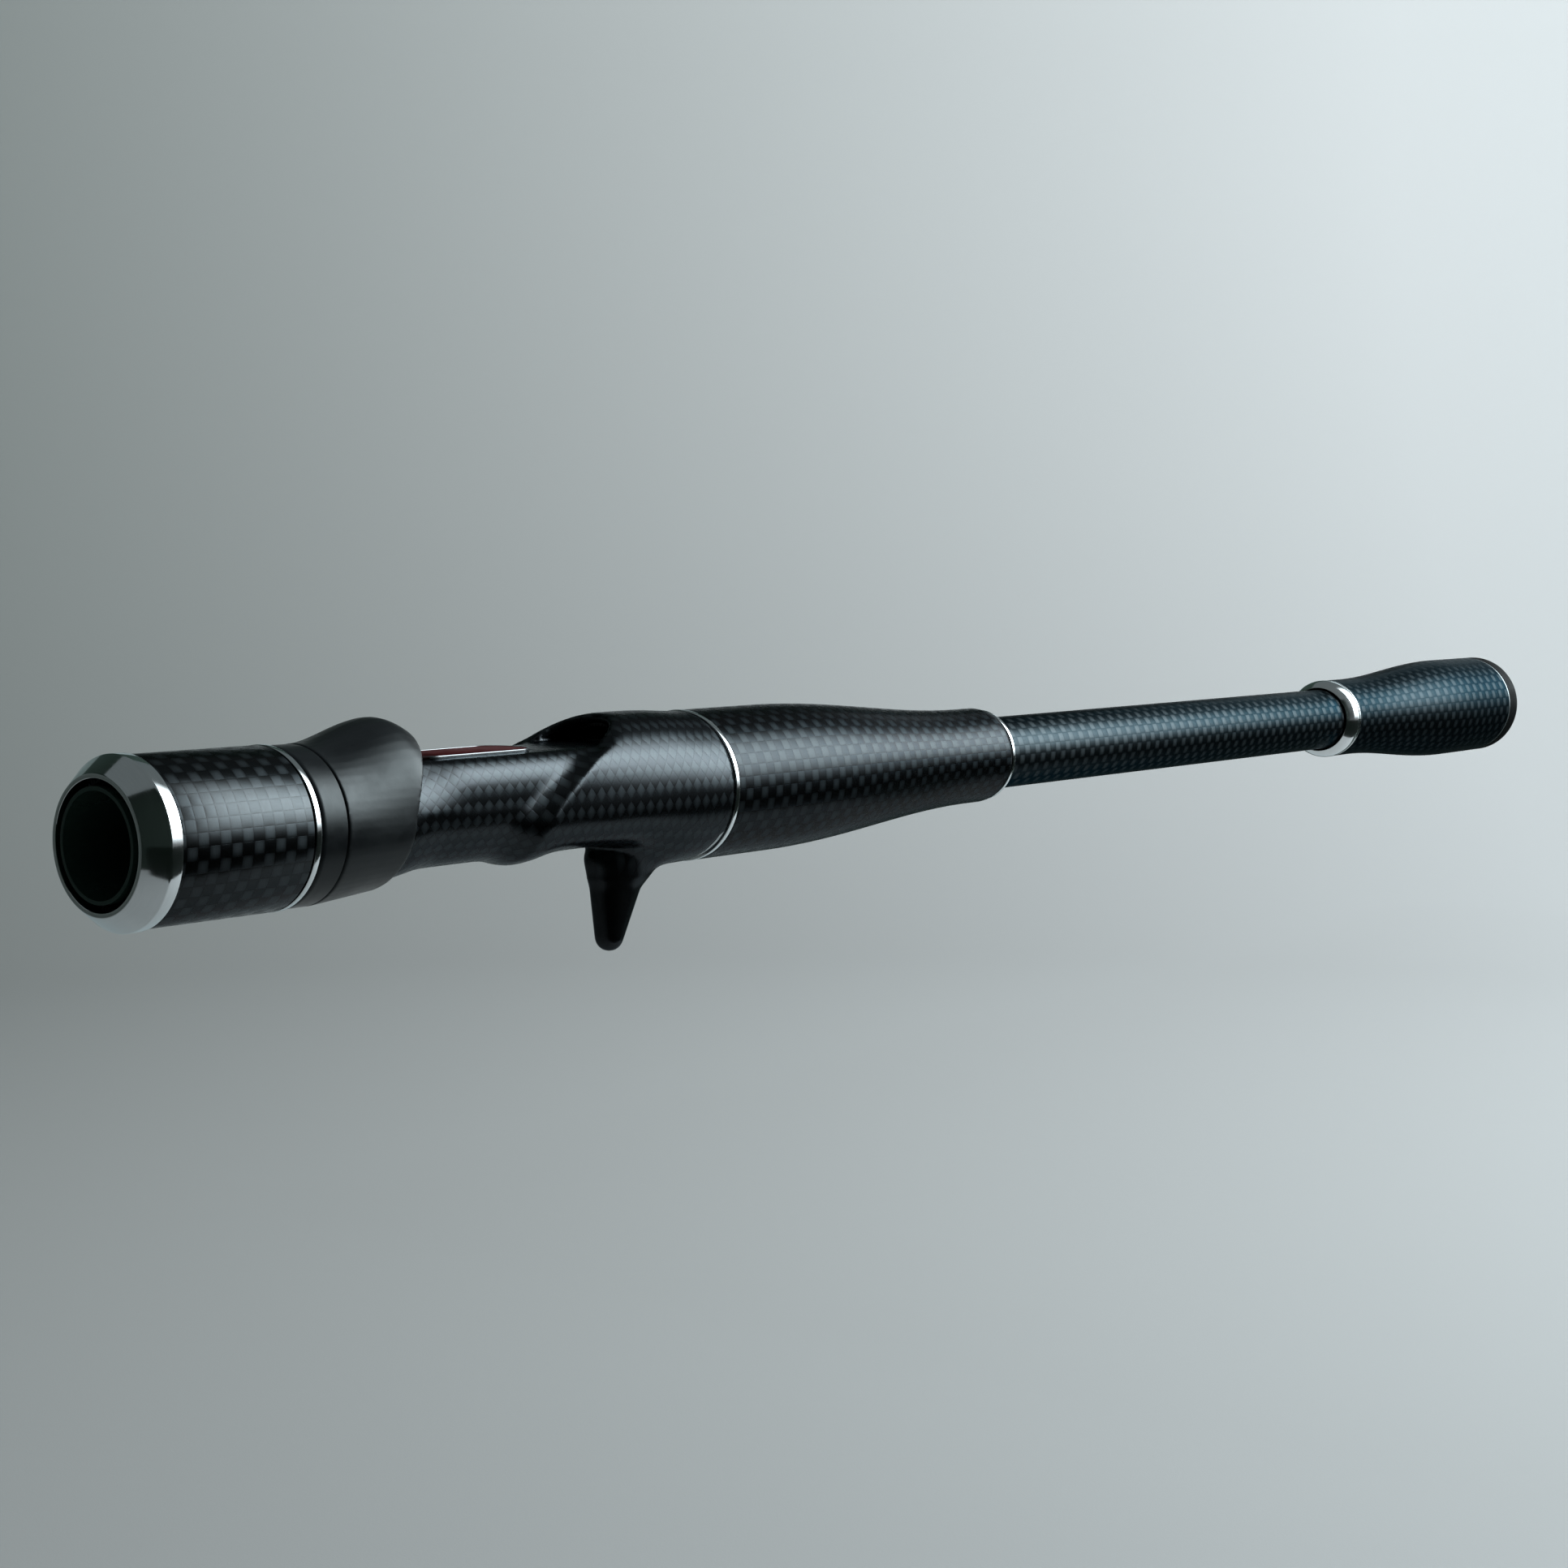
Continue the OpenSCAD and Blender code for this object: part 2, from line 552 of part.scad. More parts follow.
// Polished bevelled ring at the nose
module nose_ring() color("gainsboro")
    turned([[0, nose_open_r], [0, nose_lip_r - 0.1], [0.1, nose_lip_r],
        [nose_bevel - 0.15, fore_r + 0.12], [nose_bevel, fore_r + 0.25], [nose_rear_x - 0.2, fore_r + 0.3],
        [nose_rear_x, fore_r + 0.1], [nose_rear_x, nut_sleeve_r], [nut_front_x, nut_sleeve_r],
        [nut_front_x, nose_open_r]]);

threaded_barrel();
seat_body();
foot_bed_plate();
foot_bed_trim();
pocket_liner();
tube_arbor_front();
tube_arbor_rear();
handle_tube();
rear_grip_front_ring();
rear_grip_core();
rear_grip_sleeve();
rear_grip_end_ring();
butt_check_ring();
butt_grip_core();
butt_grip_sleeve();
butt_trim_ring();
butt_cap();
sliding_hood();
hood_liner();
hood_foot_pad();
hood_clip();
hood_washer();
lock_nut();
fore_grip_core();
fore_grip_sleeve();
fore_grip_trim_ring();
nose_ring();
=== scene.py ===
import math

import bpy
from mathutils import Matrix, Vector


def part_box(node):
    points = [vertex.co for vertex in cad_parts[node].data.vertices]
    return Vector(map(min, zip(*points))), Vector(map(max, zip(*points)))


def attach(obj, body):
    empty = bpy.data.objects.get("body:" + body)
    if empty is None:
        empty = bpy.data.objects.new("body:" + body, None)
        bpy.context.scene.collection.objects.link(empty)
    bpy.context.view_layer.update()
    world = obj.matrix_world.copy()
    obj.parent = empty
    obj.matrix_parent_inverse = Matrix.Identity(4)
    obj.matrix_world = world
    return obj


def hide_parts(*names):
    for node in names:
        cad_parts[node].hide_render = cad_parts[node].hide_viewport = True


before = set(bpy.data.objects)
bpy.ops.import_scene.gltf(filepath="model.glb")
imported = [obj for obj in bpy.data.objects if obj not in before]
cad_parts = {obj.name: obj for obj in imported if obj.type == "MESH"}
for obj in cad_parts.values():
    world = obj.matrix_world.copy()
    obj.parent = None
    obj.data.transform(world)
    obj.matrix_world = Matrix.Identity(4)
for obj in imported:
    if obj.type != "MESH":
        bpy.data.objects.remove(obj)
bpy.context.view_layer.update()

# Studio: the camera stands off the nose, a little above the rod's axis, and looks along the
# handle towards the butt. The 58.7 mm lens gives the strong taper of a close view.
nose = Vector((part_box("nose_ring")[0][0], 0, 0))
camera_data = bpy.data.cameras.new("camera")
camera = bpy.data.objects.new("camera", camera_data)
bpy.context.collection.objects.link(camera)
camera_data.lens = 58.71
camera_data.sensor_width = 36
camera_data.clip_start = 0.01
camera.location = nose + Vector((-0.2249, -0.30965, 0.04138))
camera.rotation_euler = Vector((0.7756, 0.6251, -0.0872)).to_track_quat("-Z", "Y").to_euler()
bpy.context.scene.camera = camera
bpy.context.scene.view_settings.view_transform = "Standard"


def clear_selection():
    bpy.ops.object.select_all(action="DESELECT")


def mesh_of(name):
    """The object just added, named, with its place in its mesh."""
    piece = bpy.context.object
    piece.name = name
    bpy.ops.object.transform_apply(location=True, rotation=True, scale=True)
    return piece


def material(name):
    """An empty node material: its shader, its nodes and its links."""
    finish = bpy.data.materials.new(name)
    finish.use_nodes = True
    tree = finish.node_tree
    return finish, tree.nodes["Principled BSDF"], tree.nodes, tree.links


# Floor: one round sheet of pale paper under and round the handle, swept up into a low wall. Its colour
# carries painted shade:
# mid grey on one side to near white on the other, and darker low down towards the floor. Seen from
# underneath it is clear.
floor_z = -0.36
floor_r = 3.2
wall_h = 2.0
clear_selection()
bpy.ops.mesh.primitive_cylinder_add(
    vertices=160, radius=floor_r, depth=wall_h, end_fill_type="NGON",
    location=(0.24, 0, floor_z + wall_h / 2))
floor = mesh_of("studio_floor")
bpy.ops.object.mode_set(mode="EDIT")
bpy.ops.mesh.select_all(action="DESELECT")
bpy.ops.object.mode_set(mode="OBJECT")
for face in floor.data.polygons:
    face.select = face.normal.z > 0.9
bpy.ops.object.mode_set(mode="EDIT")
bpy.ops.mesh.delete(type="FACE")
bpy.ops.object.mode_set(mode="OBJECT")
cove = floor.modifiers.new("cove", "BEVEL")
cove.width = 1.2
cove.segments = 24
cove.limit_method = "ANGLE"
cove.angle_limit = math.radians(60)
bpy.ops.object.modifier_apply(modifier="cove")
bpy.ops.object.mode_set(mode="EDIT")
bpy.ops.mesh.select_all(action="SELECT")
bpy.ops.mesh.flip_normals()
bpy.ops.object.mode_set(mode="OBJECT")
bpy.ops.object.shade_smooth()

paper, paper_shader, nodes, links = material("paper_painted_shade")
paper_shader.inputs["Roughness"].default_value = 0.9
paper_shader.inputs["Specular IOR Level"].default_value = 0.1
place = nodes.new("ShaderNodeTexCoord")
turn_paper = nodes.new("ShaderNodeMapping")
turn_paper.inputs["Rotation"].default_value = (0, 0, math.radians(51))
parts = nodes.new("ShaderNodeSeparateXYZ")
# Painted shade: the paper's colour is darker on one side and low down, standing in for the fall-off of
# the light.
grade = nodes.new("ShaderNodeMapRange")
grade.inputs["From Min"].default_value = -1.6
grade.inputs["From Max"].default_value = 1.6
painted_shade_tones = nodes.new("ShaderNodeValToRGB")
painted_shade_tones.color_ramp.elements[0].color = (0.094, 0.110, 0.104, 1)
painted_shade_tones.color_ramp.elements[1].position = 0.8
painted_shade_tones.color_ramp.elements[1].color = (0.338, 0.354, 0.360, 1)
painted_shade_low = nodes.new("ShaderNodeMapRange")
painted_shade_low.inputs["From Min"].default_value = floor_z
painted_shade_low.inputs["From Max"].default_value = floor_z + 1.2
painted_shade_low.inputs["To Min"].default_value = 0.64
painted_shade_scale = nodes.new("ShaderNodeVectorMath")
painted_shade_scale.operation = "SCALE"
grain = nodes.new("ShaderNodeTexNoise")
grain.inputs["Scale"].default_value = 900
grain_bump = nodes.new("ShaderNodeBump")
grain_bump.inputs["Strength"].default_value = 0.05
links.new(place.outputs["Object"], turn_paper.inputs["Vector"])
links.new(turn_paper.outputs["Vector"], parts.inputs["Vector"])
links.new(parts.outputs["X"], grade.inputs["Value"])
links.new(grade.outputs["Result"], painted_shade_tones.inputs["Fac"])
links.new(parts.outputs["Z"], painted_shade_low.inputs["Value"])
links.new(painted_shade_tones.outputs["Color"], painted_shade_scale.inputs[0])
links.new(painted_shade_low.outputs["Result"], painted_shade_scale.inputs["Scale"])
links.new(painted_shade_scale.outputs["Vector"], paper_shader.inputs["Base Color"])
links.new(place.outputs["Object"], grain.inputs["Vector"])
links.new(grain.outputs["Fac"], grain_bump.inputs["Height"])
links.new(grain_bump.outputs["Normal"], paper_shader.inputs["Normal"])
side = nodes.new("ShaderNodeNewGeometry")
ray = nodes.new("ShaderNodeLightPath")
from_below = nodes.new("ShaderNodeMath")
from_below.operation = "MULTIPLY"
solid_paper = nodes.new("ShaderNodeMath")
solid_paper.operation = "SUBTRACT"
solid_paper.inputs[0].default_value = 1
links.new(side.outputs["Backfacing"], from_below.inputs[0])
links.new(ray.outputs["Is Camera Ray"], from_below.inputs[1])
links.new(from_below.outputs["Value"], solid_paper.inputs[1])
links.new(solid_paper.outputs["Value"], paper_shader.inputs["Alpha"])
floor.data.materials.append(paper)

# Lights: one long soft box above and ahead of the handle, running the handle's way, so every
# tube shows one broad band of light over its middle, brightest along the box's own middle and
# fading to its edges. It is not seen by the camera.
box_centre = Vector((3.55, -0.89, 0.80))
soft_box_data = bpy.data.lights.new("soft_box", "AREA")
soft_box_data.shape = "RECTANGLE"
soft_box_data.size = 5.8
soft_box_data.size_y = 2.1
soft_box_data.energy = 190
soft_box_data.color = (0.90, 1.0, 1.03)
soft_box = bpy.data.objects.new("soft_box", soft_box_data)
bpy.context.collection.objects.link(soft_box)
soft_box.location = box_centre
soft_box.rotation_euler = (math.radians(90 - 42), 0, 0)
soft_box.visible_camera = False
soft_box_data.use_nodes = True
nodes = soft_box_data.node_tree.nodes
links = soft_box_data.node_tree.links
across = nodes.new("ShaderNodeNewGeometry")
box_parts = nodes.new("ShaderNodeSeparateXYZ")
fade = nodes.new("ShaderNodeValToRGB")
fade.color_ramp.interpolation = "EASE"
fade.color_ramp.elements[0].color = (0.05, 0.05, 0.05, 1)
fade.color_ramp.elements[1].color = (0.05, 0.05, 0.05, 1)
fade.color_ramp.elements.new(0.5).color = (2.2, 2.2, 2.2, 1)
links.new(across.outputs["Parametric"], box_parts.inputs["Vector"])
links.new(box_parts.outputs["Y"], fade.inputs["Fac"])
links.new(fade.outputs["Color"], nodes["Emission"].inputs["Strength"])

wall_wash_data = bpy.data.lights.new("wall_wash", "AREA")
wall_wash_data.size = 2.0
wall_wash_data.energy = 160
wall_wash = bpy.data.objects.new("wall_wash", wall_wash_data)
bpy.context.collection.objects.link(wall_wash)
wall_wash.location = (1.4, 0.2, 2.6)
wall_wash.rotation_euler = (math.radians(24), math.radians(-20), 0)
wall_wash.visible_camera = False
wall_wash.visible_glossy = False

# Dark cards: black boards beside and behind the camera, over the far side and on the floor. They
# are seen only in the polish of the metal and the gloss of the carbon, as dark bands.
black_card, card_shader, nodes, links = material("black_card")
card_shader.inputs["Base Color"].default_value = (0.003, 0.008, 0.005, 1)
card_shader.inputs["Roughness"].default_value = 0.9
for name, centre, size, tilt, turn in (
        ("card_front", (1.4, -0.37, -0.19), (3.6, 0.34), 90, 0),
        ("card_camera", (-0.42, -0.52, 0.40), (1.6, 1.7), 90, -38),
        ("card_far", (1.4, 1.23, 0.96), (5.0, 1.0), 90, 0),
        ("card_floor", (1.95, 0.1, -0.33), (2.3, 1.6), 0, 0)):
    clear_selection()
    bpy.ops.mesh.primitive_grid_add(
        x_subdivisions=4, y_subdivisions=4, size=1, location=centre,
        rotation=(math.radians(tilt), 0, math.radians(turn)))
    bpy.context.object.scale = (size[0], size[1], 1)
    card = mesh_of(name)
    card.data.materials.append(black_card)
    card.visible_camera = False
    card.visible_diffuse = False
    card.visible_shadow = False
    card.visible_transmission = False

world = bpy.data.worlds.new("studio")
bpy.context.scene.world = world
world.use_nodes = True
world.node_tree.nodes["Background"].inputs["Color"].default_value = (0.36, 0.42, 0.43, 1)
world.node_tree.nodes["Background"].inputs["Strength"].default_value = 0.3

# Threaded barrel: an injection-moulded polymer liner, the blank's socket. Only its front rim and
# the mouth of its bore are seen, in the nose ring; the thread is under the fore grip.
mm = 0.001


def grain_group():
    """Fine uneven surface of a moulded or ground part: a mask and a height from noise."""
    group = bpy.data.node_groups.new("fine_grain", "ShaderNodeTree")
    face = group.interface
    face.new_socket("Vector", in_out="INPUT", socket_type="NodeSocketVector")
    for name, value in (("Scale", 400.0), ("Stretch", 1.0)):
        face.new_socket(name, in_out="INPUT", socket_type="NodeSocketFloat").default_value = value
    for name in ("Mask", "Height"):
        face.new_socket(name, in_out="OUTPUT", socket_type="NodeSocketFloat")
    inside = group.nodes.new("NodeGroupInput")
    outside = group.nodes.new("NodeGroupOutput")
    pull = group.nodes.new("ShaderNodeCombineXYZ")
    pull.inputs["Y"].default_value = 1
    pull.inputs["Z"].default_value = 1
    stretched = group.nodes.new("ShaderNodeVectorMath")
    stretched.operation = "MULTIPLY"
    blotches = group.nodes.new("ShaderNodeTexNoise")
    blotches.inputs["Detail"].default_value = 5
    blotches.inputs["Roughness"].default_value = 0.6
    finer = group.nodes.new("ShaderNodeMath")
    finer.operation = "MULTIPLY"
    finer.inputs[1].default_value = 6
    speckle = group.nodes.new("ShaderNodeTexNoise")
    speckle.inputs["Detail"].default_value = 2
    link = group.links.new
    link(inside.outputs["Stretch"], pull.inputs["X"])
    link(inside.outputs["Vector"], stretched.inputs[0])
    link(pull.outputs["Vector"], stretched.inputs[1])
    link(stretched.outputs["Vector"], blotches.inputs["Vector"])
    link(stretched.outputs["Vector"], speckle.inputs["Vector"])
    link(inside.outputs["Scale"], blotches.inputs["Scale"])
    link(inside.outputs["Scale"], finer.inputs[0])
    link(finer.outputs["Value"], speckle.inputs["Scale"])
    link(blotches.outputs["Fac"], outside.inputs["Mask"])
    link(speckle.outputs["Fac"], outside.inputs["Height"])
    return group


fine_grain = grain_group()


def grained(name, dark, light, rough, scale, bump, metallic=0.0, coat=0.0, stretch=1.0,
            shine=0.5, edge=(0.88, 0.97, 1.0)):
    """A material whose colour, roughness and surface follow the fine grain."""
    finish, shader, nodes, links = material(name)
    place = nodes.new("ShaderNodeTexCoord")
    grain = nodes.new("ShaderNodeGroup")
    grain.node_tree = fine_grain
    grain.inputs["Scale"].default_value = scale
    grain.inputs["Stretch"].default_value = stretch
    tone = nodes.new("ShaderNodeMix")
    tone.data_type = "RGBA"
    tone.inputs["A"].default_value = (*dark, 1)
    tone.inputs["B"].default_value = (*light, 1)
    gloss = nodes.new("ShaderNodeMapRange")
    gloss.inputs["From Min"].default_value = 0.3
    gloss.inputs["From Max"].default_value = 0.7
    gloss.inputs["To Min"].default_value = rough[0]
    gloss.inputs["To Max"].default_value = rough[1]
    bumped = nodes.new("ShaderNodeBump")
    bumped.inputs["Strength"].default_value = bump
    bumped.inputs["Distance"].default_value = 0.02 * mm
    links.new(place.outputs["Object"], grain.inputs["Vector"])
    links.new(grain.outputs["Mask"], tone.inputs["Factor"])
    links.new(grain.outputs["Mask"], gloss.inputs["Value"])
    links.new(grain.outputs["Height"], bumped.inputs["Height"])
    links.new(tone.outputs["Result"], shader.inputs["Base Color"])
    links.new(gloss.outputs["Result"], shader.inputs["Roughness"])
    links.new(bumped.outputs["Normal"], shader.inputs["Normal"])
    shader.inputs["Metallic"].default_value = metallic
    shader.inputs["Coat Weight"].default_value = coat
    shader.inputs["Coat Roughness"].default_value = 0.12
    shader.inputs["Specular IOR Level"].default_value = shine
    shader.inputs["Specular Tint"].default_value = (*edge, 1)
    return finish


def copy_of(node, name, angle=35):
    """A welded, smooth-shaded copy of a CAD solid."""
    clear_selection()
    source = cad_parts[node]
    piece = bpy.data.objects.new(name, source.data.copy())
    piece.data.name = name
    bpy.context.collection.objects.link(piece)
    bpy.context.view_layer.objects.active = piece
    piece.select_set(True)
    piece.data.materials.clear()
    bpy.ops.object.mode_set(mode="EDIT")
    bpy.ops.mesh.select_all(action="SELECT")
    bpy.ops.mesh.remove_doubles(threshold=0.002 * mm)
    bpy.ops.object.mode_set(mode="OBJECT")
    bpy.ops.object.shade_smooth_by_angle(angle=math.radians(angle))
    return piece


barrel = copy_of("threaded_barrel", "barrel")
barrel.data.materials.append(grained(
    "barrel_polymer", (0.012, 0.028, 0.022), (0.026, 0.050, 0.040), (0.16, 0.26), 500, 0.3))
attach(barrel, "seat")
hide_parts("threaded_barrel")

# Reel seat: a carbon-fibre shell laid up over the barrel, with the trigger, the flat for the reel
# foot and the rear pocket in one piece. The weave runs slantwise and is sealed in satin resin.


def weave_group():
    """Plain weave wound on a tube about X: which way the top tow runs, its pillow and a tone."""
    group = bpy.data.node_groups.new("carbon_weave", "ShaderNodeTree")
    face = group.interface
    face.new_socket("Vector", in_out="INPUT", socket_type="NodeSocketVector")
    for name, value in (("Cell", 0.002), ("Count", 40.0), ("Slant", 0.0)):
        face.new_socket(name, in_out="INPUT", socket_type="NodeSocketFloat").default_value = value
    for name in ("Along", "Pillow", "Gap", "Tone"):
        face.new_socket(name, in_out="OUTPUT", socket_type="NodeSocketFloat")
    inside = group.nodes.new("NodeGroupInput")
    outside = group.nodes.new("NodeGroupOutput")
    link = group.links.new

    def sum_node(operation, first, second=None, third=None):
        node = group.nodes.new("ShaderNodeMath")
        node.operation = operation
        for slot, value in zip(node.inputs, (first, second, third)):
            if value is None:
                continue
            if isinstance(value, (int, float)):
                slot.default_value = value
            else:
                link(value, slot)
        return node.outputs["Value"]

    parts = group.nodes.new("ShaderNodeSeparateXYZ")
    link(inside.outputs["Vector"], parts.inputs["Vector"])
    along = sum_node("DIVIDE", parts.outputs["X"], inside.outputs["Cell"])
    turn = sum_node("DIVIDE", sum_node("ARCTAN2", parts.outputs["Z"], parts.outputs["Y"]), 2 * math.pi)
    around = sum_node("MULTIPLY", turn, inside.outputs["Count"])
    slant = inside.outputs["Slant"]
    straight = sum_node("SUBTRACT", 1, slant)
    first = sum_node("ADD", along, sum_node("MULTIPLY", around, slant))
    second = sum_node("ADD", sum_node("MULTIPLY", around, straight),
                      sum_node("MULTIPLY", sum_node("SUBTRACT", along, around), slant))
    cell_sum = sum_node("ADD", sum_node("FLOOR", first), sum_node("FLOOR", second))
    parity = sum_node("FLOORED_MODULO", cell_sum, 2)

    def arch(value):
        middle = sum_node("SUBTRACT", sum_node("MULTIPLY", sum_node("FLOORED_MODULO", value, 1), 2), 1)
        return sum_node("SUBTRACT", 1, sum_node("MULTIPLY", middle, middle))

    arch_first = arch(first)
    arch_second = arch(second)
    pillow = sum_node("POWER", sum_node("MULTIPLY", arch_first, arch_second), 0.5)
    gap = sum_node("MINIMUM", sum_node("MULTIPLY", sum_node("MINIMUM", arch_first, arch_second), 2.5), 1)
    fibres = group.nodes.new("ShaderNodeCombineXYZ")
    pull = sum_node("MULTIPLY", parity, 11)
    link(sum_node("MULTIPLY", first, sum_node("ADD", 1, pull)), fibres.inputs["X"])
    link(sum_node("MULTIPLY", second, sum_node("SUBTRACT", 12, pull)), fibres.inputs["Y"])
    strands = group.nodes.new("ShaderNodeTexNoise")
    strands.inputs["Scale"].default_value = 1.2
    strands.inputs["Detail"].default_value = 2
    link(fibres.outputs["Vector"], strands.inputs["Vector"])
    link(parity, outside.inputs["Along"])
    link(pillow, outside.inputs["Pillow"])
    link(gap, outside.inputs["Gap"])
    link(strands.outputs["Fac"], outside.inputs["Tone"])
    return group


carbon_weave = weave_group()


def carbon(name, cell, count, slant, bright, dull, rough, bump, coat, coat_rough, plain_below=-1.0):
    """Woven carbon under resin. Tows that run the first way spread the light more and get a painted
    sheen, brightest on each cell's crown.
    """
    finish, shader, nodes, links = material(name)
    place = nodes.new("ShaderNodeTexCoord")
    weave = nodes.new("ShaderNodeGroup")
    weave.node_tree = carbon_weave
    weave.inputs["Cell"].default_value = cell
    weave.inputs["Count"].default_value = count
    weave.inputs["Slant"].default_value = slant
    parts = nodes.new("ShaderNodeSeparateXYZ")
    woven = nodes.new("ShaderNodeMapRange")
    woven.inputs["From Min"].default_value = plain_below - 2.5 * mm
    woven.inputs["From Max"].default_value = plain_below + 1.5 * mm
    first_way_crowns = nodes.new("ShaderNodeMath")
    first_way_crowns.operation = "MULTIPLY"
    crowns_for_sheen_and_roughness = nodes.new("ShaderNodeMath")
    crowns_for_sheen_and_roughness.operation = "MULTIPLY"
    relief = nodes.new("ShaderNodeMath")
    relief.operation = "MULTIPLY"
    seam = nodes.new("ShaderNodeMapRange")
    seam.inputs["To Min"].default_value = 0.8
    # Painted sheen: the metal colour goes from dull to bright on the crowns of the first-way tows,
    # standing in for the weave's own glints.
    tow = nodes.new("ShaderNodeMix")
    tow.data_type = "RGBA"
    tow.inputs["A"].default_value = (*dull, 1)
    tow.inputs["B"].default_value = (*bright, 1)
    strand = nodes.new("ShaderNodeMapRange")
    strand.inputs["To Min"].default_value = 0.75
    strand.inputs["To Max"].default_value = 1.25
    shade = nodes.new("ShaderNodeMath")
    shade.operation = "MULTIPLY"
    tint = nodes.new("ShaderNodeVectorMath")
    tint.operation = "SCALE"
    spread = nodes.new("ShaderNodeMapRange")
    spread.inputs["To Min"].default_value = rough[0]
    spread.inputs["To Max"].default_value = rough[1]
    bumped = nodes.new("ShaderNodeBump")
    bumped.inputs["Strength"].default_value = 1.0
    bumped.inputs["Distance"].default_value = bump
    links.new(place.outputs["Object"], weave.inputs["Vector"])
    links.new(place.outputs["Object"], parts.inputs["Vector"])
    links.new(parts.outputs["Z"], woven.inputs["Value"])
    links.new(weave.outputs["Along"], first_way_crowns.inputs[0])
    links.new(weave.outputs["Pillow"], first_way_crowns.inputs[1])
    links.new(first_way_crowns.outputs["Value"], crowns_for_sheen_and_roughness.inputs[0])
    links.new(woven.outputs["Result"], crowns_for_sheen_and_roughness.inputs[1])
    links.new(weave.outputs["Pillow"], relief.inputs[0])
    links.new(woven.outputs["Result"], relief.inputs[1])
    links.new(weave.outputs["Gap"], seam.inputs["Value"])
    links.new(crowns_for_sheen_and_roughness.outputs["Value"], tow.inputs["Factor"])
    links.new(weave.outputs["Tone"], strand.inputs["Value"])
    links.new(strand.outputs["Result"], shade.inputs[0])
    links.new(seam.outputs["Result"], shade.inputs[1])
    links.new(tow.outputs["Result"], tint.inputs[0])
    links.new(shade.outputs["Value"], tint.inputs["Scale"])
    links.new(tint.outputs["Vector"], shader.inputs["Base Color"])
    links.new(crowns_for_sheen_and_roughness.outputs["Value"], spread.inputs["Value"])
    links.new(spread.outputs["Result"], shader.inputs["Roughness"])
    links.new(relief.outputs["Value"], bumped.inputs["Height"])
    links.new(bumped.outputs["Normal"], shader.inputs["Normal"])
    shader.inputs["Metallic"].default_value = 1.0
    shader.inputs["Specular Tint"].default_value = (0.34, 0.38, 0.40, 1)
    shader.inputs["Coat Weight"].default_value = coat
    shader.inputs["Coat Roughness"].default_value = coat_rough
    return finish


seat = copy_of("seat_body", "seat_shell")
remesh = seat.modifiers.new("even_skin", "REMESH")
remesh.mode = "VOXEL"
remesh.voxel_size = 0.42 * mm
bpy.ops.object.modifier_apply(modifier="even_skin")
trigger_root_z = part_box("seat_body")[0][2] + 17 * mm
bpy.ops.object.mode_set(mode="EDIT")
bpy.ops.mesh.select_all(action="DESELECT")
bpy.ops.object.mode_set(mode="OBJECT")
for vertex in seat.data.vertices:
    spot = vertex.co
    vertex.select = (abs(spot.x - 114 * mm) < 14 * mm and abs(spot.z - trigger_root_z) < 3.6 * mm
                     and math.hypot(spot.y, spot.z) > 9.2 * mm)
bpy.ops.object.mode_set(mode="EDIT")
bpy.ops.mesh.vertices_smooth(factor=0.5, repeat=60)
bpy.ops.object.mode_set(mode="OBJECT")
soften = seat.modifiers.new("soften", "SMOOTH")
soften.factor = 0.5
soften.iterations = 6
bpy.ops.object.modifier_apply(modifier="soften")
bpy.ops.object.shade_smooth()
seat.data.materials.append(carbon(
    "carbon_seat", 2.4 * mm, 28, 1.0, (0.032, 0.038, 0.042), (0.019, 0.022, 0.025),
    (0.26, 0.42), 0.03 * mm, 0.3, 0.25, -13 * mm))
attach(seat, "seat")
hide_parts("seat_body")

# Foot bed: a thin red plate let into the seat's flat, coloured near black over its front up to a slanted
# line, with a bright strip laid round its edge.
# The reel's foot rests on it.


def flat_sheet(name, x0, x1, half_w, z0, corner):
    """A flat sheet with rounded rear corners, not yet given its thickness."""
    clear_selection()
    bpy.ops.mesh.primitive_plane_add(size=1, location=((x0 + x1) / 2, 0, z0))
    bpy.context.object.scale = (x1 - x0, 2 * half_w, 1)
    sheet = mesh_of(name)
    for vertex in sheet.data.vertices:
        vertex.select = vertex.co.x > (x0 + x1) / 2
    bpy.ops.object.mode_set(mode="EDIT")
    bpy.ops.mesh.select_mode(type="VERT")
    bpy.ops.mesh.bevel(offset=corner, segments=14, affect="VERTICES")
    bpy.ops.mesh.select_all(action="SELECT")
    return sheet


def close_solid(piece, round_w, angle=35):
    """Outward faces and softly rounded edges for a piece left in edit mode."""
    bpy.ops.mesh.select_all(action="SELECT")
    bpy.ops.mesh.normals_make_consistent(inside=False)
    bpy.ops.object.mode_set(mode="OBJECT")
    edge = piece.modifiers.new("edge", "BEVEL")
    edge.width = round_w
    edge.segments = 3
    edge.limit_method = "ANGLE"
    edge.angle_limit = math.radians(angle)
    bpy.ops.object.modifier_apply(modifier="edge")
    bpy.ops.object.shade_smooth_by_angle(angle=math.radians(angle))


trim_low, trim_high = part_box("foot_bed_trim")
trim_w = 0.32 * mm
trim_corner = 4.6 * mm
trim = flat_sheet("bed_trim", trim_low[0], trim_high[0], trim_high[1], trim_low[2], trim_corner)
bpy.ops.mesh.inset(thickness=trim_w, depth=0)
bpy.ops.mesh.delete(type="FACE")
bpy.ops.mesh.select_all(action="SELECT")
bpy.ops.mesh.extrude_region_move(
    TRANSFORM_OT_translate={"value": (0, 0, trim_high[2] - trim_low[2])})
close_solid(trim, 0.09 * mm)
trim.data.materials.append(grained(
    "plate_edge", (0.22, 0.23, 0.24), (0.32, 0.33, 0.34), (0.18, 0.3), 300, 0.1, metallic=1.0,
    edge=(0.4, 0.42, 0.44)))
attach(trim, "seat")
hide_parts("foot_bed_trim")

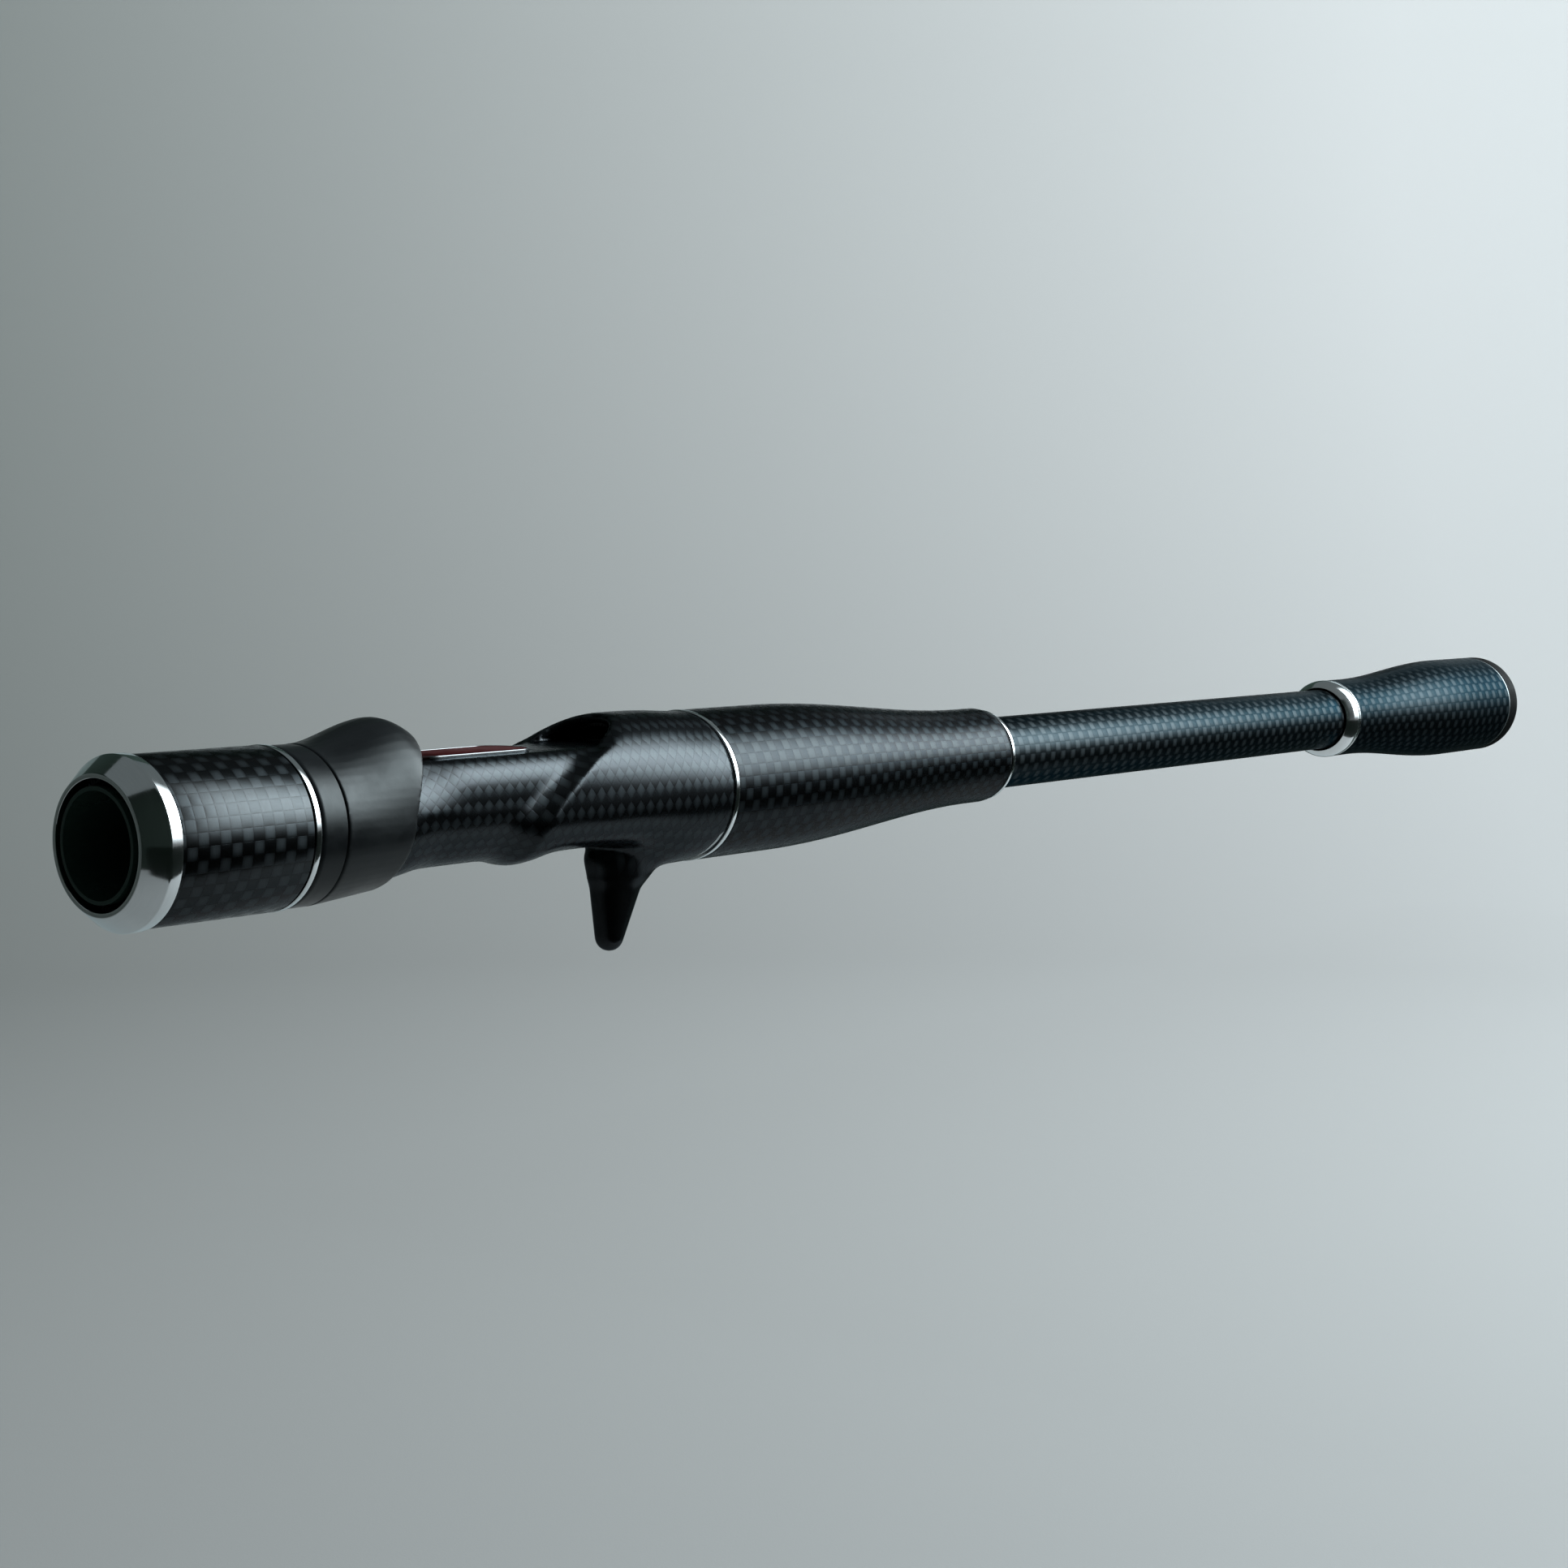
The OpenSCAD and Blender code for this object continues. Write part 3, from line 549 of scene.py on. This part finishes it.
bed_low, bed_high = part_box("foot_bed_plate")
bed_corner = 4.0 * mm
end_room = 0.02 * mm
side_room = 0.07 * mm
bed = flat_sheet("bed_plate", bed_low[0], bed_high[0] - trim_w - end_room, bed_high[1] - side_room,
                 bed_low[2], bed_corner)
bpy.ops.mesh.extrude_region_move(TRANSFORM_OT_translate={"value": (0, 0, bed_high[2] - bed_low[2])})
close_solid(bed, 0.07 * mm)
red = grained("plate_red", (0.05, 0.0015, 0.003), (0.09, 0.003, 0.006), (0.25, 0.38), 160, 0.2,
              metallic=1.0, edge=(0.5, 0.03, 0.05))
nodes = red.node_tree.nodes
links = red.node_tree.links
bed_place = nodes.new("ShaderNodeTexCoord")
bed_parts = nodes.new("ShaderNodeSeparateXYZ")
bed_line = nodes.new("ShaderNodeMath")
bed_line.operation = "MULTIPLY_ADD"
bed_line.inputs[1].default_value = -0.5
# The plate's front is coloured near black up to a soft slanted line across it.
panel = nodes.new("ShaderNodeMapRange")
panel.interpolation_type = "SMOOTHSTEP"
dark_front_l = 14 * mm
dark_front_blur = 0.5 * mm
panel.inputs["From Min"].default_value = bed_low[0] + dark_front_l - dark_front_blur
panel.inputs["From Max"].default_value = bed_low[0] + dark_front_l + dark_front_blur
dark_front_mix = nodes.new("ShaderNodeMix")
dark_front_mix.data_type = "RGBA"
dark_front_mix.inputs["A"].default_value = (0.004, 0.004, 0.004, 1)
red_tone = nodes["Principled BSDF"].inputs["Base Color"].links[0].from_socket
links.new(bed_place.outputs["Object"], bed_parts.inputs["Vector"])
links.new(bed_parts.outputs["Y"], bed_line.inputs[0])
links.new(bed_parts.outputs["X"], bed_line.inputs[2])
links.new(bed_line.outputs["Value"], panel.inputs["Value"])
links.new(panel.outputs["Result"], dark_front_mix.inputs["Factor"])
links.new(red_tone, dark_front_mix.inputs["B"])
links.new(dark_front_mix.outputs["Result"], nodes["Principled BSDF"].inputs["Base Color"])
bed.data.materials.append(red)
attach(bed, "seat")
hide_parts("foot_bed_plate")

# Pocket lining: a moulded gloss-black insert pressed into the seat's rear pocket, which takes
# the back of the reel's foot.
lining = copy_of("pocket_liner", "pocket_lining")
lining.data.materials.append(grained(
    "pocket_black", (0.003, 0.003, 0.003), (0.008, 0.008, 0.008), (0.3, 0.4), 500, 0.2))
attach(lining, "seat")
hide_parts("pocket_liner")

# Tube and arbors: a long wrapped carbon tube, ground matt, glued through the seat on two wound
# foam arbors that fill the space round it.


def turned(name, outline, round_w=0.1 * mm, angle=32, steps=180):
    """Spins a closed outline of (x, radius) points about the rod's axis."""
    clear_selection()
    bpy.ops.mesh.primitive_plane_add(size=0.1 * mm, location=(outline[0][0], 0, outline[0][1]))
    piece = mesh_of(name)
    bpy.ops.object.mode_set(mode="EDIT")
    bpy.ops.mesh.select_all(action="SELECT")
    bpy.ops.mesh.merge(type="CENTER")
    for here, there in zip(outline, outline[1:] + outline[:1]):
        bpy.ops.mesh.extrude_region_move(
            TRANSFORM_OT_translate={"value": (there[0] - here[0], 0, there[1] - here[1])})
    bpy.ops.mesh.select_all(action="SELECT")
    bpy.ops.mesh.remove_doubles(threshold=0.0005 * mm)
    bpy.ops.mesh.spin(steps=steps, angle=2 * math.pi, center=(0, 0, 0), axis=(1, 0, 0))
    bpy.ops.mesh.select_all(action="SELECT")
    bpy.ops.mesh.remove_doubles(threshold=0.0005 * mm)
    close_solid(piece, round_w, angle)
    return piece


def span(node):
    """First and last station of a CAD ring, and its outer radius."""
    low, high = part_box(node)
    return low[0], high[0], high[2]


tube_x0, tube_x1, tube_r = span("handle_tube")
tube_wall = 0.8 * mm
tube = turned("long_tube", [
    (tube_x0, tube_r), (tube_x1, tube_r), (tube_x1, tube_r - tube_wall), (tube_x0, tube_r - tube_wall)])
tube.data.materials.append(carbon(
    "carbon_tube", 2.0 * mm, 24, 0.0, (0.058, 0.067, 0.072), (0.030, 0.035, 0.038),
    (0.32, 0.46), 0.02 * mm, 0.0, 0.4))
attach(tube, "seat")
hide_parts("handle_tube")


def keep(node, finish):
    """Gives a hidden CAD solid its finish and leaves its shape alone."""
    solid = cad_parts[node]
    if not solid.material_slots:
        solid.data.materials.append(finish)
    solid.material_slots[0].material = finish


arbor_foam = grained("arbor_foam", (0.30, 0.22, 0.13), (0.46, 0.36, 0.24), (0.7, 0.9), 900, 0.6)
for node in ("tube_arbor_front", "tube_arbor_rear"):
    keep(node, arbor_foam)

# Rear grip: carbon skin over a shaped foam core, tapering to the tube, between two thin polished
# rings. A shadow groove is turned into the front ring.
polished = grained("polished_aluminium", (0.74, 0.77, 0.78), (0.86, 0.88, 0.90), (0.08, 0.14), 250, 0.03,
                   metallic=1.0, stretch=14)
ring_x0, ring_x1, ring_r = span("rear_grip_front_ring")
glue_gap = 0.1 * mm
groove_w = 0.4 * mm
groove_r = ring_r - 0.7 * mm
front_ring = turned("rear_grip_ring", [
    (ring_x0, tube_r + glue_gap), (ring_x0, groove_r), (ring_x0 + groove_w, groove_r),
    (ring_x0 + groove_w, ring_r), (ring_x1, ring_r), (ring_x1, tube_r + glue_gap)], 0.14 * mm)
front_ring.data.materials.append(polished)
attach(front_ring, "seat")
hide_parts("rear_grip_front_ring")


def eased(first, last, share):
    """A cosine curve from one radius to another."""
    share = min(1, max(0, share))
    return first + (last - first) * (1 - math.cos(math.pi * share)) / 2


def grip_skin(name, x0, x1, radius_at, skin, rows, end_round):
    """A thin shell that follows a radius along the grip, rounded over at its rear end."""
    outer = []
    for row in range(rows + 1):
        share = row / rows
        x = x0 + (x1 - x0) * share
        tuck = max(0, 1 - (x1 - x) / end_round) if end_round else 0
        outer.append((x, radius_at(share) - 0.45 * end_round * (1 - math.sqrt(1 - tuck * tuck * 0.96))))
    inner = [(x, r - skin) for x, r in reversed(outer)]
    return turned(name, outer + inner, 0.12 * mm)


skin_x0, skin_x1, skin_r = span("rear_grip_sleeve")
tail_r = span("rear_grip_end_ring")[2] + 0.3 * mm
rear_skin = grip_skin(
    "rear_grip_skin", skin_x0 + 0.06 * mm, skin_x1,
    lambda share: eased(skin_r, tail_r, (share - 0.22) / 0.72), 0.75 * mm, 120, 1.6 * mm)
rear_skin.data.materials.append(carbon(
    "carbon_rear_grip", 2.15 * mm, 40, 0.0, (0.026, 0.031, 0.034), (0.011, 0.013, 0.015),
    (0.26, 0.46), 0.035 * mm, 0.25, 0.25))
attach(rear_skin, "seat")
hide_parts("rear_grip_sleeve")

core_foam = grained("core_foam", (0.03, 0.03, 0.03), (0.07, 0.07, 0.07), (0.7, 0.9), 900, 0.6)
for node in ("rear_grip_core", "butt_grip_core", "fore_grip_core"):
    keep(node, core_foam)

end_x0, end_x1, end_r = span("rear_grip_end_ring")
end_bevel = 0.2 * mm
end_ring = turned("rear_grip_end_ring_turned", [
    (end_x0, tube_r + glue_gap), (end_x0, end_r), (end_x1 - end_bevel, end_r),
    (end_x1, end_r - end_bevel), (end_x1, tube_r + glue_gap)], 0.1 * mm)
end_ring.data.materials.append(polished)
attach(end_ring, "seat")
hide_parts("rear_grip_end_ring")

# Butt check: a polished ring turned from aluminium and glued on the tube ahead of the butt grip.
# It flares from the tube out to the grip, with a fine groove near its rear edge.
check_x0, check_x1, check_r = span("butt_check_ring")
flare_x1 = check_x1 - 1.4 * mm
mouth_r = tube_r + 0.6 * mm
flare = []
for row in range(1, 13):
    share = row / 12
    flare.append((check_x0 + (flare_x1 - check_x0) * share,
                  mouth_r + (check_r - mouth_r) * math.sin(math.pi / 2 * share)))
check = turned("butt_check", [
    (check_x0 + 1.2 * mm, tube_r + glue_gap), (check_x0, mouth_r - 0.15 * mm),
    (check_x0, mouth_r)] + flare + [
    (check_x1 - 0.9 * mm, check_r), (check_x1 - 0.75 * mm, check_r - 0.25 * mm),
    (check_x1 - 0.5 * mm, check_r - 0.25 * mm), (check_x1 - 0.35 * mm, check_r - 0.03 * mm),
    (check_x1, check_r - 0.03 * mm), (check_x1, tube_r + glue_gap)], 0.06 * mm)
check.data.materials.append(grained(
    "polished_check", (0.82, 0.84, 0.85), (0.92, 0.93, 0.94), (0.10, 0.16), 250, 0.015,
    metallic=1.0, stretch=14))
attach(check, "seat")
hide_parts("butt_check_ring")

# Butt grip: a waisted sleeve of woven carbon, ground matt, over a foam core on the tube's end.
# It starts at the check ring's width and swells to the cap.
butt_x0, butt_x1, butt_r = span("butt_grip_sleeve")
waist_r = check_r - 0.05 * mm
butt_skin = grip_skin(
    "butt_grip_skin", butt_x0 + 0.05 * mm, butt_x1,
    lambda share: eased(waist_r, butt_r, (share - 0.1) / 0.655), 0.75 * mm, 110, 0)
butt_skin.data.materials.append(carbon(
    "carbon_butt_grip", 2.2 * mm, 34, 0.0, (0.048, 0.056, 0.061), (0.026, 0.031, 0.034),
    (0.32, 0.44), 0.02 * mm, 0.0, 0.4))
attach(butt_skin, "seat")
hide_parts("butt_grip_sleeve")

# Butt line and cap: a thin satin metal washer, and behind it a moulded black cap with a rounded
# edge and a dished end, whose plug is glued in the tube.
line_x0, line_x1, line_r = span("butt_trim_ring")
line_bore = tube_r - 0.7 * mm
line_ring = turned("butt_line", [
    (line_x0, line_bore), (line_x0, line_r), (line_x1, line_r), (line_x1, line_bore)], 0.1 * mm)
line_ring.data.materials.append(grained(
    "satin_line", (0.20, 0.22, 0.22), (0.34, 0.36, 0.37), (0.3, 0.4), 250, 0.1,
    metallic=0.9, stretch=10))
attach(line_ring, "seat")
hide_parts("butt_trim_ring")

cap_x0, cap_x1, cap_r = span("butt_cap")
plug_r = tube_r - 0.85 * mm
cap_edge = 2.4 * mm
dish_r = 6.2 * mm
dish_depth = 0.35 * mm
cap_outline = [(cap_x0, 0), (cap_x0, plug_r), (line_x1, plug_r), (line_x1, cap_r)]
for row in range(0, 13):
    turn = math.pi / 2 * row / 12
    cap_outline.append((cap_x1 - cap_edge * (1 - math.sin(turn)),
                        cap_r - cap_edge * (1 - math.cos(turn))))
cap_outline += [(cap_x1, dish_r), (cap_x1 - dish_depth, dish_r - 0.6 * mm), (cap_x1 - dish_depth, 0)]
cap = turned("butt_cap_moulding", cap_outline, 0.12 * mm)
cap.data.materials.append(grained(
    "cap_black", (0.001, 0.0012, 0.0012), (0.002, 0.0025, 0.0025), (0.5, 0.65), 500, 0.5,
    shine=0.04))
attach(cap, "seat")
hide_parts("butt_cap")

# Sliding hood: a glass-filled moulding in matt black with a crown over its mouth, which clamps
# the front of the reel's foot. It slides on the barrel and never turns.
hood = copy_of("sliding_hood", "hood_shell")
even = hood.modifiers.new("even_skin", "REMESH")
even.mode = "VOXEL"
even.voxel_size = 0.3 * mm
bpy.ops.object.modifier_apply(modifier="even_skin")
soften = hood.modifiers.new("soften", "SMOOTH")
soften.factor = 0.5
soften.iterations = 8
bpy.ops.object.modifier_apply(modifier="soften")
bpy.ops.object.shade_smooth()
hood.data.materials.append(grained(
    "hood_black", (0.0015, 0.002, 0.0025), (0.004, 0.005, 0.006), (0.30, 0.42), 260, 0.4, shine=0.28))
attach(hood, "hood")
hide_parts("sliding_hood")

# Hood fittings: a keyed nylon bush that slides on the barrel, a rubber pad over the reel's foot, and
# the spring clip and slip washer that tie the hood to the turning nut. All sit inside the hood.
keep("hood_liner", grained(
    "bush_nylon", (0.55, 0.52, 0.44), (0.68, 0.65, 0.57), (0.4, 0.55), 500, 0.3))
keep("hood_foot_pad", grained(
    "foot_pad_rubber", (0.02, 0.02, 0.02), (0.04, 0.04, 0.04), (0.7, 0.85), 700, 0.5))
keep("hood_clip", grained(
    "clip_steel", (0.5, 0.5, 0.5), (0.65, 0.65, 0.66), (0.2, 0.35), 400, 0.1, metallic=1.0))
keep("hood_washer", grained(
    "washer_nylon", (0.6, 0.6, 0.58), (0.74, 0.74, 0.72), (0.4, 0.5), 500, 0.2))

# Lock nut: the matt black band behind the fore grip, turned in one piece with the threaded
# sleeve that the fore grip is glued on.
nut = copy_of("lock_nut", "nut_band")
nut.data.materials.append(grained(
    "nut_black", (0.0015, 0.002, 0.0025), (0.004, 0.005, 0.006), (0.28, 0.38), 420, 0.3, shine=0.26))
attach(nut, "nut")
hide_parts("lock_nut")

# Fore grip: a woven carbon sleeve under satin resin, glued over a foam core on the nut's sleeve.
# It is turned by hand to lock the reel.
fore_x0, fore_x1, fore_r = span("fore_grip_sleeve")
fore_gap = 0.1 * mm
fore_bore = fore_r - 0.8 * mm
fore_skin = turned("fore_grip_skin", [
    (fore_x0 + fore_gap, fore_r), (fore_x1 - fore_gap, fore_r),
    (fore_x1 - fore_gap, fore_bore), (fore_x0 + fore_gap, fore_bore)], 0.16 * mm)
fore_skin.data.materials.append(carbon(
    "carbon_fore_grip", 2.05 * mm, 40, 0.0, (0.036, 0.042, 0.046), (0.016, 0.019, 0.021),
    (0.22, 0.48), 0.03 * mm, 0.35, 0.22))
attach(fore_skin, "nut")
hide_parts("fore_grip_sleeve")

# Fore grip ring: a thin polished ring pushed on behind the carbon sleeve, with a fine step turned
# in its front so that a dark seam shows between the two.
thin_x0, thin_x1, thin_r = span("fore_grip_trim_ring")
sleeve_r = 10.45 * mm
seam_w = 0.2 * mm
seam_r = thin_r - 0.66 * mm
thin_ring = turned("fore_grip_ring", [
    (thin_x0, sleeve_r), (thin_x0, seam_r), (thin_x0 + seam_w, seam_r),
    (thin_x0 + seam_w, thin_r), (thin_x1, thin_r), (thin_x1, sleeve_r)], 0.1 * mm)
thin_ring.data.materials.append(polished)
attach(thin_ring, "nut")
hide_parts("fore_grip_trim_ring")

# Nose ring: a polished ring glued on the front of the nut's sleeve. Its front is one wide bevel
# down to a narrow lip round the barrel's mouth.
nose_x0, nose_x1, nose_r = span("nose_ring")
open_r = 9.88 * mm
lip_r = 10.62 * mm
bevel_x = 3.3 * mm
nose_turned = turned("nose_bevel_ring", [
    (nose_x0, open_r), (nose_x0, lip_r), (nose_x0 + bevel_x - 0.12 * mm, nose_r - 0.14 * mm),
    (nose_x0 + bevel_x + 0.1 * mm, nose_r), (nose_x1, nose_r), (nose_x1, sleeve_r),
    (nose_x0 + bevel_x, sleeve_r), (nose_x0 + bevel_x, open_r)], 0.12 * mm, 20)
nose_turned.data.materials.append(polished)
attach(nose_turned, "nut")
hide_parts("nose_ring")
